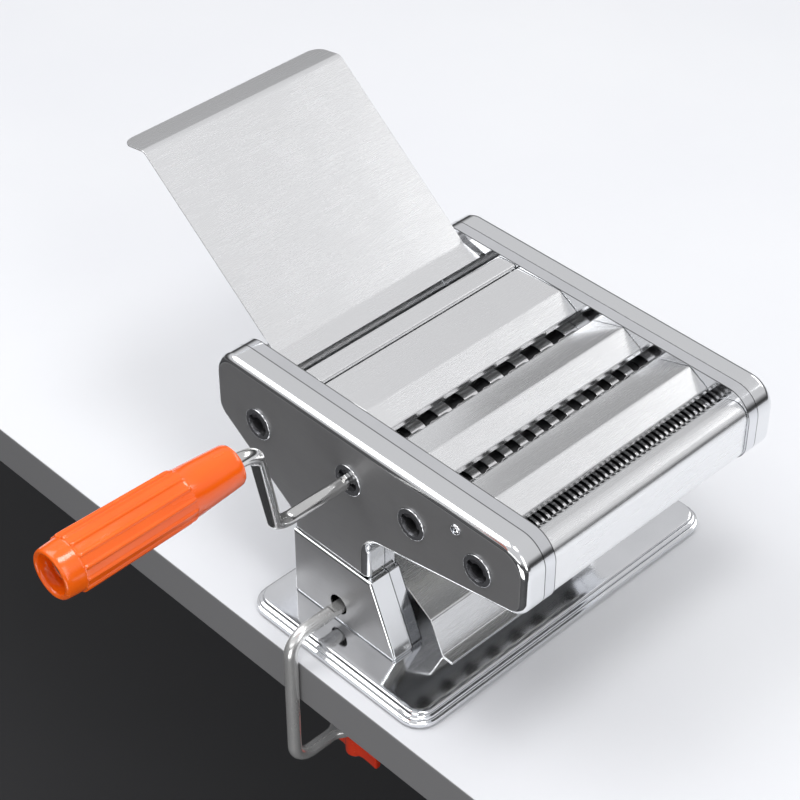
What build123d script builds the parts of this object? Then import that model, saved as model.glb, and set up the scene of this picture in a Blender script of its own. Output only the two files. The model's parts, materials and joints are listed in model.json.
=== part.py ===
"""Table-top pasta roller machine: a pair of smooth rollers, three pairs of cutting rollers,
a removable crank and a table clamp.

Frame, in millimetres: X runs from the feed tray (-X) to the nose (+X), Y along the rollers
with the crank on the -Y side, and Z up from the table. The origin is in the middle of the
base's footprint, on the table.
"""
import os
from math import atan2, cos, degrees, hypot, radians, sin

from build123d import *

os.makedirs("parts", exist_ok=True)

# ---------------------------------------------------------------- driving dimensions
body_top = 150.0            # table to the top of the cheeks
body_rear = -113.5          # rear end of the cheeks
body_front = 119.5          # front end of the cheeks
web_y = 75.0                # inner face of each side frame
joint_y = 83.0              # plane where a side frame meets its outer cover
face_y = 97.0               # outer face of each cheek cover
cover_sheet = 1.2           # pressed covers and frame flanges
web_sheet = 1.5             # side frame webs
panel_sheet = 0.8           # bent panels between the frames
panel_gap = 0.3             # gap at each end of those panels
cheek_rim = 5.0             # rolled rim of the cheek covers

base_length = 139.0         # base skirt along X
base_width = 239.0          # base skirt along Y
base_top = 9.2
base_sheet = 1.2
base_corner = 14.0
foot_radius = 7.0

leg_rear = -53.5            # rear edge of the legs
leg_front_top = 8.5         # front edge of the legs at the joint line
leg_front_bottom = 28.0     # front edge of the legs at the base
leg_joint = 56.0            # joint line between cover and leg
leg_depth = 13.7            # joint plane to the leg's face
arch_rear = 5.5             # rear side of the arch under the nose
beam_low = 84.0             # lower edge of the nose at X = 0
beam_slope = 0.2            # its rise per unit of X
slant_top = 108.0           # lower end of the rear edge
slant_low = 66.5            # where the slanted edge meets the leg

roller_radius = 13.0
roller_turn_at = (-77.5, 117.0)     # axis of the driven smooth roller (X, Z)
nip_slope = atan2(14, 22)           # line from that axis to the other roller
nip_open = 2.8                      # widest gap between the smooth rollers
nip_closed = 0.1                    # narrowest gap
shaft_radius = 5.0
shaft_fit = 0.05                    # radial running clearance
drum_gap = 0.3                      # end gap between a drum and a web

cutter_x = (-6.5, 40.5, 87.5)       # driven cutter axes
cutter_z = 122.0
cutter_radius = 10.0
groove_radius = 8.2
cutter_offset = (16.7, 8.5)         # from a driven cutter to its partner (X, Z)
cutter_names = ("wide", "medium", "narrow")
noodle_widths = (10.0, 6.0, 2.0)
side_gap = 0.15                     # gap between a disc and the groove it runs in

bush_radius = 7.5
socket_radius = 6.8         # sleeve on each driven shaft, where the crank plugs in
socket_bore = 4.2
socket_floor = 88.0         # Y of the bottom of that bore
socket_slot = 3.1
ring_radius = 8.5           # bearing ring of a sleeve in the cheek cover
ring_flange = 9.6

crank_rod_radius = 4.0
crank_radius = 100.0        # crank axis to grip axis
crank_lean = radians(19)    # lean of the crank arm from upright, towards the nose
crank_knee = -148.0         # Y of the first bend
crank_elbow = -185.5        # Y of the second bend
crank_bend = 17.0
lug_width = 12.4
lug_thickness = 2.8
grip_inner = -199.0         # Y of the grip's two ends
grip_outer = -304.0

clamp_rod_radius = 4.0
clamp_at = (-17.2, 22.1)    # hole in each leg (X, Z)
clamp_hole = 6.4            # its radius
clamp_arm_z = 20.2          # axis of the hook arm
clamp_back = -133.0         # Y of the clamp's upright
clamp_low = -79.0           # Z of the clamp's lower arm
clamp_screw_y = -86.0
clamp_bend = 13.0
table_thickness = 30.0      # table that the clamp grips as modelled
screw_radius = 4.0
pad_radius = 15.5

tray_slope = radians(38.4)
tray_bend = (-90.0, 145.3)  # foot of the tray's slope (X, Z)
tray_run = 131.0            # length of the slope
tray_lip = 20.0
tray_width = 146.0

# ---------------------------------------------------------------- worked out from them
panel_length = 2 * (web_y - panel_gap)
nip_u = (cos(nip_slope), sin(nip_slope))
nip_rest = 2 * roller_radius + nip_open
nip_travel = nip_open - nip_closed
cutter_pitch = hypot(*cutter_offset)
cutter_slope = atan2(cutter_offset[1], cutter_offset[0])
driven_axes = [roller_turn_at] + [(x, cutter_z) for x in cutter_x]
partner_axes = [(x + cutter_offset[0], cutter_z + cutter_offset[1]) for x in cutter_x]
crank_at = driven_axes[1]
grip_at = (
    crank_at[0] + crank_radius * sin(crank_lean),
    crank_at[1] + crank_radius * cos(crank_lean),
)


def along_nip(distance):
    """The point (X, Z) at a distance from the driven smooth roller towards its partner."""
    return (roller_turn_at[0] + distance * nip_u[0], roller_turn_at[1] + distance * nip_u[1])


adjust_at = along_nip(nip_rest)

# Thickness regulator: two cams on a cross shaft pull the bearing plates of the second roller.
regulator_offset = 16.5     # cam shaft to the driven roller's axis
regulator_at = along_nip(-regulator_offset)
regulator_radius = 3.0
cam_low = 3.9               # cam radius at the widest gap
cam_turn = 270.0            # degrees of knob travel
plate_inner = 77.3          # Y range of the sliding bearing plates
plate_outer = 82.8
dial_radius = 12.5
dial_boss = 6.0
knob_radius = 12.3
detent_radius = 9.4

# Cross rods between the side frames; the first also takes the cover screws.
cross_rods = [(71.5, 139.0), (24.5, 139.0), (-26.0, 130.0), (-44.0, 63.0)]
rod_radius = 3.5
rod_neck = 2.5
base_screw_x = (-40.0, 15.0)
base_screw_y = 80.6


def save(piece, name):
    """Label a finished piece and write it as one STEP file."""
    piece.part.label = name
    export_step(piece.part, f"parts/{name}.step")


def side_plane(y):
    """The plane across the machine at Y = y, with local axes X and Z, facing -Y."""
    return Plane(origin=(0, y, 0), x_dir=(1, 0, 0), z_dir=(0, -1, 0))


def cylinder_y(at, radius, y_from, y_to, mode=Mode.ADD):
    """Add a cylinder along Y to the current part, from y_from up to y_to."""
    with BuildSketch(side_plane(y_to)) as disc:
        with Locations(at):
            Circle(radius)
    extrude(disc.sketch, amount=y_to - y_from, mode=mode)


def slab_y(y_from, y_to):
    """Extrude the sketch drawn on side_plane(y_to) down to y_from."""
    extrude(amount=y_to - y_from)


def mirrored(near):
    """The far twin of a near-side piece."""
    with BuildPart() as far:
        add(near.part)
        mirror(about=Plane.XZ, mode=Mode.REPLACE)
    return far


def bent_sheet(points, radii, thickness, length):
    """A bent sheet whose side view follows the points, centred on Y = 0."""
    with BuildPart() as sheet:
        with BuildSketch(Plane.XZ):
            with BuildLine():
                FilletPolyline(*points, radius=radii)
            trace(line_width=thickness)
        extrude(amount=length / 2, both=True)
    return sheet


def closed_outline(points, radii, inset=0.0):
    """A closed face with rounded corners in the current sketch, shrunk by inset."""
    with BuildLine() as line:
        FilletPolyline(*points, radius=radii, close=True)
    make_face(line.edges())
    if inset:
        offset(amount=-inset, mode=Mode.REPLACE)


def cover_outline(inset=0.0):
    """Side view of a cheek above the leg joint."""
    points = [
        (body_rear, body_top),
        (body_front, body_top),
        (body_front, beam_low + beam_slope * body_front),
        (arch_rear, beam_low + beam_slope * arch_rear),
        (arch_rear, leg_joint),
        (leg_rear, leg_joint),
        (leg_rear, slant_low),
        (body_rear, slant_top),
    ]
    closed_outline(points, [16, 16, 12, 13, 1, 1, 9, 14], inset)


def frame_outline(inset=0.0):
    """Side view of a side frame: the cheek and its leg in one sheet."""
    points = [
        (body_rear, body_top),
        (body_front, body_top),
        (body_front, beam_low + beam_slope * body_front),
        (arch_rear, beam_low + beam_slope * arch_rear),
        (arch_rear, leg_joint),
        (leg_front_top, leg_joint),
        (leg_front_bottom, base_top),
        (leg_rear, base_top),
        (leg_rear, slant_low),
        (body_rear, slant_top),
    ]
    closed_outline(points, [16, 16, 12, 13, 1, 1, 2, 2, 9, 14], inset)


def leg_outline(inset=0.0):
    """Side view of an outer leg shell."""
    points = [
        (leg_front_bottom, base_top),
        (leg_rear, base_top),
        (leg_rear, leg_joint - 0.3),
        (leg_front_top, leg_joint - 0.3),
    ]
    closed_outline(points, [2, 2, 0.5, 0.5], inset)


def pressed_pan(outline, depth, rim_radius, lowest_rim, highest_rim=body_top + 1):
    """A pressed shell, open at the joint plane, its outer rim rolled between two heights."""
    with BuildPart() as core:
        with BuildSketch(side_plane(-joint_y)):
            outline(cover_sheet)
        extrude(amount=depth - cover_sheet)
        rim = core.faces().sort_by(Axis.Y)[0].edges()
        rolled = [edge for edge in rim if lowest_rim + cover_sheet < edge.center().Z < highest_rim]
        fillet(rolled, radius=rim_radius - cover_sheet)
    with BuildPart() as pan:
        with BuildSketch(side_plane(-joint_y)):
            outline()
        extrude(amount=depth)
        rim = pan.faces().sort_by(Axis.Y)[0].edges()
        rolled = [edge for edge in rim if lowest_rim < edge.center().Z < highest_rim]
        fillet(rolled, radius=rim_radius)
        add(core.part, mode=Mode.SUBTRACT)
    return pan


# ---------------------------------------------------------------- base
with BuildPart() as base_plate:
    steps = ((1.6, 4.2, 0.0), (4.2, 6.8, 1.8), (6.8, base_top, 3.6))
    for low, high, inward in steps:
        with BuildSketch(Plane.XY.offset(low)):
            RectangleRounded(
                base_length - 2 * inward, base_width - 2 * inward, base_corner - inward
            )
        extrude(amount=high - low)
    fillet(base_plate.faces().sort_by(Axis.Z)[-1].edges(), radius=1.2)
    for low, high, inward in steps:
        inset = inward + base_sheet
        with BuildSketch(Plane.XY.offset(low - base_sheet)):
            RectangleRounded(base_length - 2 * inset, base_width - 2 * inset, base_corner - inset)
        extrude(amount=high - low, mode=Mode.SUBTRACT)
    with BuildSketch(Plane.XY.offset(base_top)):
        for y in (-base_screw_y, base_screw_y):
            with Locations([(x, y) for x in base_screw_x]):
                Circle(2.2)
    extrude(amount=-base_sheet - 1, mode=Mode.SUBTRACT)
save(base_plate, "base_plate")

with BuildPart() as base_feet:
    foot_height = base_top - base_sheet
    with GridLocations(base_length - 38, base_width - 38, 2, 2):
        Cone(foot_radius - 1, foot_radius, foot_height, align=(Align.CENTER, Align.CENTER, Align.MIN))
save(base_feet, "base_feet")

with BuildPart() as base_screws:
    # Pan heads inside the tray of the base, shanks up through the frame flanges, and nuts.
    spots = [(x, y) for x in base_screw_x for y in (-base_screw_y, base_screw_y)]
    for bottom, height, radius in ((5.6, 2.4, 3.6), (8.0, 9.4, 2.0)):
        with BuildSketch(Plane.XY.offset(bottom)):
            with Locations(spots):
                Circle(radius)
        extrude(amount=height)
    with BuildSketch(Plane.XY.offset(base_top + cover_sheet)):
        with Locations(spots):
            RegularPolygon(3.5, 6)
    extrude(amount=3.2)
save(base_screws, "base_screws")

# ---------------------------------------------------------------- cheek covers and legs
cheek_pan = pressed_pan(cover_outline, face_y - joint_y, cheek_rim, leg_joint + 0.1)


def open_cover_bottom():
    """Open the lower wall of a cheek cover, where the leg's tongue comes up."""
    width = arch_rear - leg_rear - 2 * cover_sheet
    with BuildSketch(side_plane(-joint_y)) as opening:
        with Locations(((leg_rear + arch_rear) / 2, leg_joint)):
            Rectangle(width, 4)
    extrude(opening.sketch, amount=face_y - joint_y - cover_sheet, mode=Mode.SUBTRACT)


with BuildPart() as near_cheek_cover:
    add(cheek_pan.part)
    open_cover_bottom()
    for axis in driven_axes:
        cylinder_y(axis, ring_radius, -face_y, -joint_y, mode=Mode.SUBTRACT)
    cylinder_y(cross_rods[0], 2.2, -face_y, -joint_y, mode=Mode.SUBTRACT)
save(near_cheek_cover, "near_cheek_cover")

with BuildPart() as far_cheek_cover:
    add(cheek_pan.part)
    open_cover_bottom()
    cylinder_y(regulator_at, dial_boss, -face_y, -joint_y, mode=Mode.SUBTRACT)
    cylinder_y(cross_rods[0], 2.2, -face_y, -joint_y, mode=Mode.SUBTRACT)
    mirror(about=Plane.XZ, mode=Mode.REPLACE)
save(far_cheek_cover, "far_cheek_cover")

with BuildPart() as near_leg:
    add(pressed_pan(leg_outline, leg_depth, 1.8, base_top + 1, leg_joint - 2).part)
    # A tongue behind the cheek cover joins the leg to it.
    tongue_y = face_y - cover_sheet - 0.1
    with BuildSketch(side_plane(-tongue_y + cover_sheet)):
        with Locations(((leg_rear + arch_rear) / 2, leg_joint + 3)):
            Rectangle(arch_rear - leg_rear - 12, 18)
    extrude(amount=cover_sheet)
    cylinder_y(clamp_at, clamp_hole, -face_y, -joint_y, mode=Mode.SUBTRACT)
save(near_leg, "near_leg")
save(mirrored(near_leg), "far_leg")

# ---------------------------------------------------------------- side frames
bush_axes = driven_axes + partner_axes
guide_offset = 10.3         # centre line of a guide bar from the line of the nip
with BuildPart() as near_side_frame:
    with BuildSketch(side_plane(-web_y)):
        frame_outline()
    extrude(amount=joint_y - web_y)
    with BuildSketch(side_plane(-web_y - web_sheet)):
        frame_outline(cover_sheet)
    extrude(amount=joint_y - web_y - web_sheet, mode=Mode.SUBTRACT)
    # Guide bars for the sliding bearing plate of the second roller.
    with BuildSketch(side_plane(-web_y - web_sheet)):
        with Locations(Location((*along_nip(12), 0), (0, 0, degrees(nip_slope)))):
            with Locations((0, guide_offset), (0, -guide_offset)):
                Rectangle(26, 3)
    extrude(amount=plate_outer - web_y - web_sheet)
    for axis in bush_axes:
        cylinder_y(axis, bush_radius, -joint_y, -web_y, mode=Mode.SUBTRACT)
    with BuildSketch(side_plane(-web_y)):
        with Locations(Location((*along_nip(nip_rest - nip_travel / 2), 0), (0, 0, degrees(nip_slope)))):
            SlotCenterToCenter(nip_travel, 2 * shaft_radius + 2)
    extrude(amount=web_sheet, mode=Mode.SUBTRACT)
    cylinder_y(regulator_at, regulator_radius + shaft_fit, -joint_y, -web_y, mode=Mode.SUBTRACT)
    for rod in cross_rods:
        cylinder_y(rod, rod_neck, -joint_y, -web_y, mode=Mode.SUBTRACT)
    cylinder_y(clamp_at, clamp_hole, -joint_y, -web_y, mode=Mode.SUBTRACT)
    with BuildSketch(Plane.XY.offset(base_top)):
        with Locations([(x, -base_screw_y) for x in base_screw_x]):
            Circle(2.2)
    extrude(amount=cover_sheet, mode=Mode.SUBTRACT)
save(near_side_frame, "near_side_frame")
save(mirrored(near_side_frame), "far_side_frame")

with BuildPart() as cross_rod_set:
    for rod in cross_rods:
        cylinder_y(rod, rod_radius, -web_y, web_y)
        cylinder_y(rod, rod_neck, -web_y - 5, web_y + 5)
save(cross_rod_set, "cross_rods")

with BuildPart() as rod_nuts:
    for inner in (web_y + web_sheet, -web_y - web_sheet - 3):
        with BuildSketch(side_plane(inner + 3)):
            with Locations(cross_rods):
                RegularPolygon(4.6, 6)
                Circle(rod_neck, mode=Mode.SUBTRACT)
        slab_y(inner, inner + 3)
save(rod_nuts, "rod_nuts")

with BuildPart() as cover_screws:
    # One pan-head screw on each cheek, into the end of the front cross rod.
    cylinder_y(cross_rods[0], 3.3, -face_y - 1.7, -face_y)
    fillet(cover_screws.faces().sort_by(Axis.Y)[0].edges(), radius=0.9)
    cylinder_y(cross_rods[0], 2.0, -face_y, -web_y - 5)
    mirror(about=Plane.XZ)
save(cover_screws, "cover_screws")

with BuildPart() as shaft_bushes:
    for side in (-1, 1):
        for axis in bush_axes:
            thickness = 2.0 if axis == roller_turn_at else 4.5
            inner, outer = sorted((side * web_y, side * (web_y + thickness)))
            with BuildSketch(side_plane(outer)):
                with Locations(axis):
                    Circle(bush_radius)
                    Circle(shaft_radius + shaft_fit, mode=Mode.SUBTRACT)
            slab_y(inner, outer)
save(shaft_bushes, "shaft_bushes")

with BuildPart() as socket_rings:
    for radius, outer, inner in ((ring_flange, face_y + 1.2, face_y), (ring_radius, face_y, face_y - 3)):
        with BuildSketch(side_plane(-inner)):
            with Locations(driven_axes):
                Circle(radius)
        slab_y(-outer, -inner)
    fillet(socket_rings.faces().group_by(Axis.Y)[0].edges(), radius=0.6)
    for axis in driven_axes:
        cylinder_y(axis, socket_radius + shaft_fit, -face_y - 1.2, 3 - face_y, mode=Mode.SUBTRACT)
save(socket_rings, "socket_rings")

# ---------------------------------------------------------------- panels between the frames
rear_cover = bent_sheet(
    [(-79.5, 141.0), (-110.9, 141.0), (-110.9, 108.2), (-52.2, 67.6), (-52.2, 61.0)],
    [13, 11, 4],
    panel_sheet,
    panel_length,
)
save(rear_cover, "rear_cover")

guide_plate = bent_sheet(
    [(50.0, base_top + 0.5), (42.5, base_top + 0.5), (33.0, 30.5), (-57.0, 86.5), (-62.0, 86.5)],
    [2, 3, 3],
    panel_sheet,
    panel_length,
)
save(guide_plate, "guide_plate")

roller_cover = bent_sheet(
    [(-68.2, 141.8), (-64.0, 148.4), (-51.2, 149.2), (-50.8, 147.4)],
    [3, 0.9],
    panel_sheet,
    panel_length,
)
save(roller_cover, "roller_cover")


def hopper_cover(rear_points, ridge_x):
    """A roof between two slots: up to a ridge, then steeply down to the next slot."""
    points = rear_points + [
        (ridge_x, 149.4),
        (ridge_x + 12.7, 142.2),
        (ridge_x + 13.2, 139.4),
    ]
    return bent_sheet(points, [1.5] * (len(points) - 2), panel_sheet, panel_length)


hopper_names = ("rear_hopper_cover", "middle_hopper_cover", "front_hopper_cover")
for name, x in zip(hopper_names, cutter_x):
    if x == cutter_x[0]:
        start = [(-49.6, 146.6), (-48.8, 148.0)]
    else:
        start = [(x - 32.7, 141.6), (x - 31.1, 142.6)]
    save(hopper_cover(start, x - 10.1), name)

nose_x = cutter_x[-1] + 14.3    # front edge of the last slot
nose_cover = bent_sheet(
    [(nose_x, 141.6), (nose_x + 1.6, 142.6), (117.9, 146.6), (117.9, 109.6), (109.0, 107.8)],
    [1.5, 8, 8],
    panel_sheet,
    panel_length,
)
save(nose_cover, "nose_cover")

# ---------------------------------------------------------------- feed tray
with BuildPart() as feed_tray:
    slope_end = (
        tray_bend[0] - tray_run * cos(tray_slope),
        tray_bend[1] + tray_run * sin(tray_slope),
    )
    lip_end = (slope_end[0] - tray_lip, slope_end[1] - 0.18 * tray_lip)
    with BuildSketch(Plane.XZ):
        with BuildLine():
            FilletPolyline((-76.5, 142.4), tray_bend, slope_end, lip_end, radius=[4, 5])
        trace(line_width=panel_sheet)
    extrude(amount=tray_width / 2, both=True)
    lip_edge = feed_tray.faces().sort_by(Axis.X)[0]
    fillet(lip_edge.edges().filter_by(lambda e: abs(e.center().Y) > tray_width / 2 - 1), radius=8)
save(feed_tray, "feed_tray")

# ---------------------------------------------------------------- strippers
def nip_plane(y, axis, slope):
    """A side plane whose local axes run along the line of centres and away from the exit."""
    return Plane(
        origin=(axis[0], y, axis[1]),
        x_dir=(cos(slope), 0, sin(slope)),
        z_dir=(0, -1, 0),
    )


def groove_centres(width, first, overhang):
    """Middle Y of each groove of a cutter, as far as overhang past the end of its drum."""
    count = int(web_y / (2 * width)) + 1
    ys = [first + 2 * width * step for step in range(-count - 1, count + 2)]
    return [y for y in ys if abs(y) < web_y - drum_gap + overhang]


def comb(axis, flip, finger_width, finger_ys):
    """A bar under one cutter, with a finger up into each of its grooves.

    flip turns the comb about the middle of the pair, for the partner cutter.
    """
    centre = cutter_pitch / 2
    bar = [(1.0, -12.0), (6.0, -12.0), (6.0, -17.0), (1.0, -17.0)]
    finger = [(7.2, -5.0), (7.0, -12.5), (1.4, -12.5), (5.0, -7.3)]
    if flip:
        bar = [(2 * centre - a, b) for a, b in bar]
        finger = [(2 * centre - a, b) for a, b in finger]
    with BuildSketch(nip_plane(web_y, axis, cutter_slope)) as bar_section:
        Polygon(*bar, align=None)
    extrude(bar_section.sketch, amount=2 * web_y)
    for y in finger_ys:
        with BuildSketch(nip_plane(y + finger_width / 2, axis, cutter_slope)) as section:
            Polygon(*finger, align=None)
        extrude(section.sketch, amount=finger_width)


for name, axis, width in zip(cutter_names, driven_axes[1:], noodle_widths):
    with BuildPart() as combs:
        # Fingers only where the whole groove is on the drum.
        comb(axis, False, width - 1.0, groove_centres(width, 0.0, -width / 2 - 0.2))
        comb(axis, True, width - 1.0, groove_centres(width, width, -width / 2 - 0.2))
    save(combs, f"{name}_combs")

with BuildPart() as roller_scrapers:
    for flip in (False, True):
        blade = [(8.6, -10.0), (9.0, -10.5), (6.2, -21.0), (2.0, -24.0), (2.0, -22.0), (5.4, -20.0)]
        if flip:
            # Sized for the closed nip, so that the second roller clears its blade throughout.
            blade = [(2 * roller_radius + nip_closed - a, b) for a, b in blade]
        with BuildSketch(nip_plane(web_y, roller_turn_at, nip_slope)):
            Polygon(*blade, align=None)
        extrude(amount=2 * web_y)
save(roller_scrapers, "roller_scrapers")

# ---------------------------------------------------------------- smooth rollers and cutters
shaft_end = 93.5            # far end of the cutter shafts
drum_y = (drum_gap - web_y, web_y - drum_gap)

with BuildPart() as drive_roller:
    cylinder_y(roller_turn_at, roller_radius, *drum_y)
    chamfer(drive_roller.edges().filter_by(GeomType.CIRCLE), length=0.5)
    cylinder_y(roller_turn_at, shaft_radius, -socket_floor, web_y + 4)
save(drive_roller, "drive_roller")

with BuildPart() as adjust_roller:
    cylinder_y(adjust_at, roller_radius, *drum_y)
    chamfer(adjust_roller.edges().filter_by(GeomType.CIRCLE), length=0.5)
    cylinder_y(adjust_at, shaft_radius, -shaft_end, plate_outer)
save(adjust_roller, "adjust_roller")


def cutter(axis, width, grooves):
    """A grooved drum: discs of the cutter radius left between the grooves."""
    cylinder_y(axis, cutter_radius, *drum_y)
    groove = width / 2 + side_gap
    with BuildSketch(side_plane(web_y)) as ring:
        with Locations(axis):
            Circle(cutter_radius + 1)
            Circle(groove_radius, mode=Mode.SUBTRACT)
    for y in grooves:
        low = max(y - groove, -web_y)
        high = min(y + groove, web_y)
        extrude(ring.sketch.moved(Location((0, high - web_y, 0))), amount=high - low, mode=Mode.SUBTRACT)


for name, driven, partner, width in zip(cutter_names, driven_axes[1:], partner_axes, noodle_widths):
    with BuildPart() as drive_cutter:
        cutter(driven, width, groove_centres(width, 0.0, width / 2 - 0.4))
        cylinder_y(driven, shaft_radius, -socket_floor, shaft_end)
    save(drive_cutter, f"{name}_drive_cutter")
    with BuildPart() as partner_cutter:
        cutter(partner, width, groove_centres(width, width, width / 2 - 0.4))
        cylinder_y(partner, shaft_radius, -web_y - 6, shaft_end)
    save(partner_cutter, f"{name}_partner_cutter")

# ---------------------------------------------------------------- gears in the cheeks
far_gears = (84.5, 92.5)        # Y range of the cutter gears
near_gears = (-92.5, -84.5)     # Y range of the smooth rollers' gears
tooth_flank = 0.38              # tooth narrowing per unit of height, on each side


def gear(axis, span, bore, teeth, tip, root, mid_width, phase):
    """A spur gear with straight-flanked teeth, the first one at the phase angle."""
    middle = (tip + root) / 2
    foot = root - 0.8
    base = mid_width / 2 + tooth_flank * (middle - foot)
    crest = mid_width / 2 - tooth_flank * (tip - middle)
    with BuildPart() as wheel:
        with BuildSketch(side_plane(span[1])):
            with Locations(axis):
                Circle(root)
                with PolarLocations(0, teeth, start_angle=phase):
                    Polygon((foot, base), (tip, crest), (tip, -crest), (foot, -base), align=None)
                Circle(bore, mode=Mode.SUBTRACT)
        slab_y(*span)
    return wheel


def gear_phases(driven, partner, teeth):
    """Phases of two equal gears in mesh: a tooth of the first points at a gap of the second."""
    line = degrees(atan2(partner[1] - driven[1], partner[0] - driven[0]))
    return line, line + 180 + 180 / teeth


# Deep teeth keep the smooth rollers in mesh over the whole travel of the nip.
deep_teeth = (10, 15.3, 10.3, 3.2)
drive_phase, adjust_phase = gear_phases(roller_turn_at, adjust_at, deep_teeth[0])
drive_roller_gear = gear(roller_turn_at, near_gears, socket_radius, *deep_teeth, drive_phase)
adjust_roller_gear = gear(adjust_at, near_gears, shaft_radius, *deep_teeth, adjust_phase)
save(drive_roller_gear, "drive_roller_gear")
save(adjust_roller_gear, "adjust_roller_gear")

cutter_teeth = (12, 10.6, 7.8, 1.9)
for name, driven, partner in zip(cutter_names, driven_axes[1:], partner_axes):
    drive_phase, partner_phase = gear_phases(driven, partner, cutter_teeth[0])
    save(gear(driven, far_gears, shaft_radius, *cutter_teeth, drive_phase), f"{name}_drive_gear")
    save(gear(partner, far_gears, shaft_radius, *cutter_teeth, partner_phase), f"{name}_partner_gear")

# ---------------------------------------------------------------- crank sockets
socket_names = ["roller_socket"] + [f"{name}_socket" for name in cutter_names]
for name, axis in zip(socket_names, driven_axes):
    # The slots lie along the crank's lugs.
    across = Location((*axis, 0), (0, 0, -degrees(crank_lean)))
    with BuildPart() as socket:
        cylinder_y(axis, socket_radius, -face_y - 0.6, -plate_outer - 0.4)
        cylinder_y(axis, shaft_radius, -socket_floor, -plate_outer - 0.4, mode=Mode.SUBTRACT)
        cylinder_y(axis, socket_bore, -face_y - 0.6, -socket_floor, mode=Mode.SUBTRACT)
        with BuildSketch(side_plane(-socket_floor)):
            with Locations(across):
                Rectangle(2 * socket_radius + 1, socket_slot)
        extrude(amount=face_y + 0.6 - socket_floor, mode=Mode.SUBTRACT)
    save(socket, name)

# ---------------------------------------------------------------- thickness regulator
with BuildPart() as roller_plates:
    # One bearing plate each side: bore for the second roller, slot for the first roller's
    # shaft, and a window whose end wall the cam pushes.
    window_end = -regulator_offset - cam_low
    window_front = -7.6
    for side in (-1, 1):
        inner, outer = sorted((side * plate_inner, side * plate_outer))
        with BuildSketch(nip_plane(outer, roller_turn_at, nip_slope)):
            with Locations(((window_end - 3 + nip_rest + 9) / 2, 0)):
                RectangleRounded(nip_rest + 12 - window_end, 17, 5)
            with Locations((nip_rest, 0)):
                Circle(shaft_radius + shaft_fit, mode=Mode.SUBTRACT)
            with Locations((nip_travel / 2, 0)):
                SlotCenterToCenter(nip_travel + 0.4, 2 * shaft_radius + 1, mode=Mode.SUBTRACT)
            with Locations(((window_end + window_front) / 2, 0)):
                Rectangle(window_front - window_end, 13.8, mode=Mode.SUBTRACT)
        slab_y(inner, outer)
save(roller_plates, "roller_plates")

with BuildPart() as regulator_shaft:
    cylinder_y(regulator_at, regulator_radius, -plate_outer, face_y + 9)
save(regulator_shaft, "regulator_shaft")


def cam_point(angle, clearance=0.12):
    """A point of the cam at an angle on from its low point, round its own axis."""
    radius = cam_low - clearance + nip_travel * max(angle, 0.0) / cam_turn
    turn = radians(angle + 180)
    return (radius * cos(turn), radius * sin(turn))


with BuildPart() as regulator_cams:
    for side in (-1, 1):
        inner, outer = sorted((side * plate_inner, side * plate_outer))
        with BuildSketch(nip_plane(outer, regulator_at, nip_slope)):
            with BuildLine():
                Spline([cam_point(angle) for angle in range(0, 271, 30)])
                Line(cam_point(cam_turn), cam_point(-50))
                RadiusArc(cam_point(-50), cam_point(0), -cam_low + 0.12)
            make_face()
            Circle(regulator_radius, mode=Mode.SUBTRACT)
        slab_y(inner, outer)
save(regulator_cams, "regulator_cams")

with BuildPart() as dial_plate:
    cylinder_y(regulator_at, dial_radius, face_y, face_y + 1.6)
    chamfer(dial_plate.faces().sort_by(Axis.Y)[-1].edges(), length=0.4)
    cylinder_y(regulator_at, dial_boss, face_y - 2.5, face_y)
    cylinder_y(regulator_at, regulator_radius + shaft_fit, face_y - 2.5, face_y + 1.6, mode=Mode.SUBTRACT)
    # Groove that the knob's index pin rides in.
    with BuildSketch(side_plane(face_y + 1.6)):
        with Locations(regulator_at):
            Circle(detent_radius + 1.3)
            Circle(detent_radius - 1.3, mode=Mode.SUBTRACT)
    extrude(amount=0.9, mode=Mode.SUBTRACT)
save(dial_plate, "dial_plate")

with BuildPart() as regulator_knob:
    knob_foot = face_y + 2.0
    cylinder_y(regulator_at, knob_radius, knob_foot, knob_foot + 13)
    fillet(regulator_knob.faces().sort_by(Axis.Y)[-1].edges(), radius=2)
    with BuildSketch(side_plane(knob_foot + 13)):
        with Locations(regulator_at):
            with PolarLocations(knob_radius + 0.7, 12):
                Circle(1.6)
    extrude(amount=13, mode=Mode.SUBTRACT)
    cylinder_y(regulator_at, regulator_radius + shaft_fit, knob_foot, face_y + 9.2, mode=Mode.SUBTRACT)
    # The index pin rides in the dial's groove.
    with BuildSketch(side_plane(knob_foot)):
        with Locations(regulator_at):
            with PolarLocations(detent_radius, 1, start_angle=225):
                Circle(0.9)
    extrude(amount=0.9)
save(regulator_knob, "regulator_knob")

# ---------------------------------------------------------------- crank
with BuildPart() as crank_rod:
    rod_start = -socket_floor - 0.4
    with BuildLine():
        FilletPolyline(
            (crank_at[0], rod_start, crank_at[1]),
            (crank_at[0], crank_knee, crank_at[1]),
            (grip_at[0], crank_elbow, grip_at[1]),
            (grip_at[0], grip_outer + 7, grip_at[1]),
            radius=[crank_bend, crank_bend],
        )
    with BuildSketch(Plane(origin=(crank_at[0], rod_start, crank_at[1]), z_dir=(0, -1, 0))):
        Circle(crank_rod_radius)
    sweep()
    # Two lugs that turn the socket.
    with BuildSketch(side_plane(rod_start - 1)):
        with Locations(Location((*crank_at, 0), (0, 0, -degrees(crank_lean)))):
            Rectangle(lug_width, lug_thickness)
    extrude(amount=13.5)
    # Collar that keeps the grip from sliding inwards.
    cylinder_y(grip_at, 5.4, grip_inner + 0.4, grip_inner + 1.8)
save(crank_rod, "crank_rod")

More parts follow.
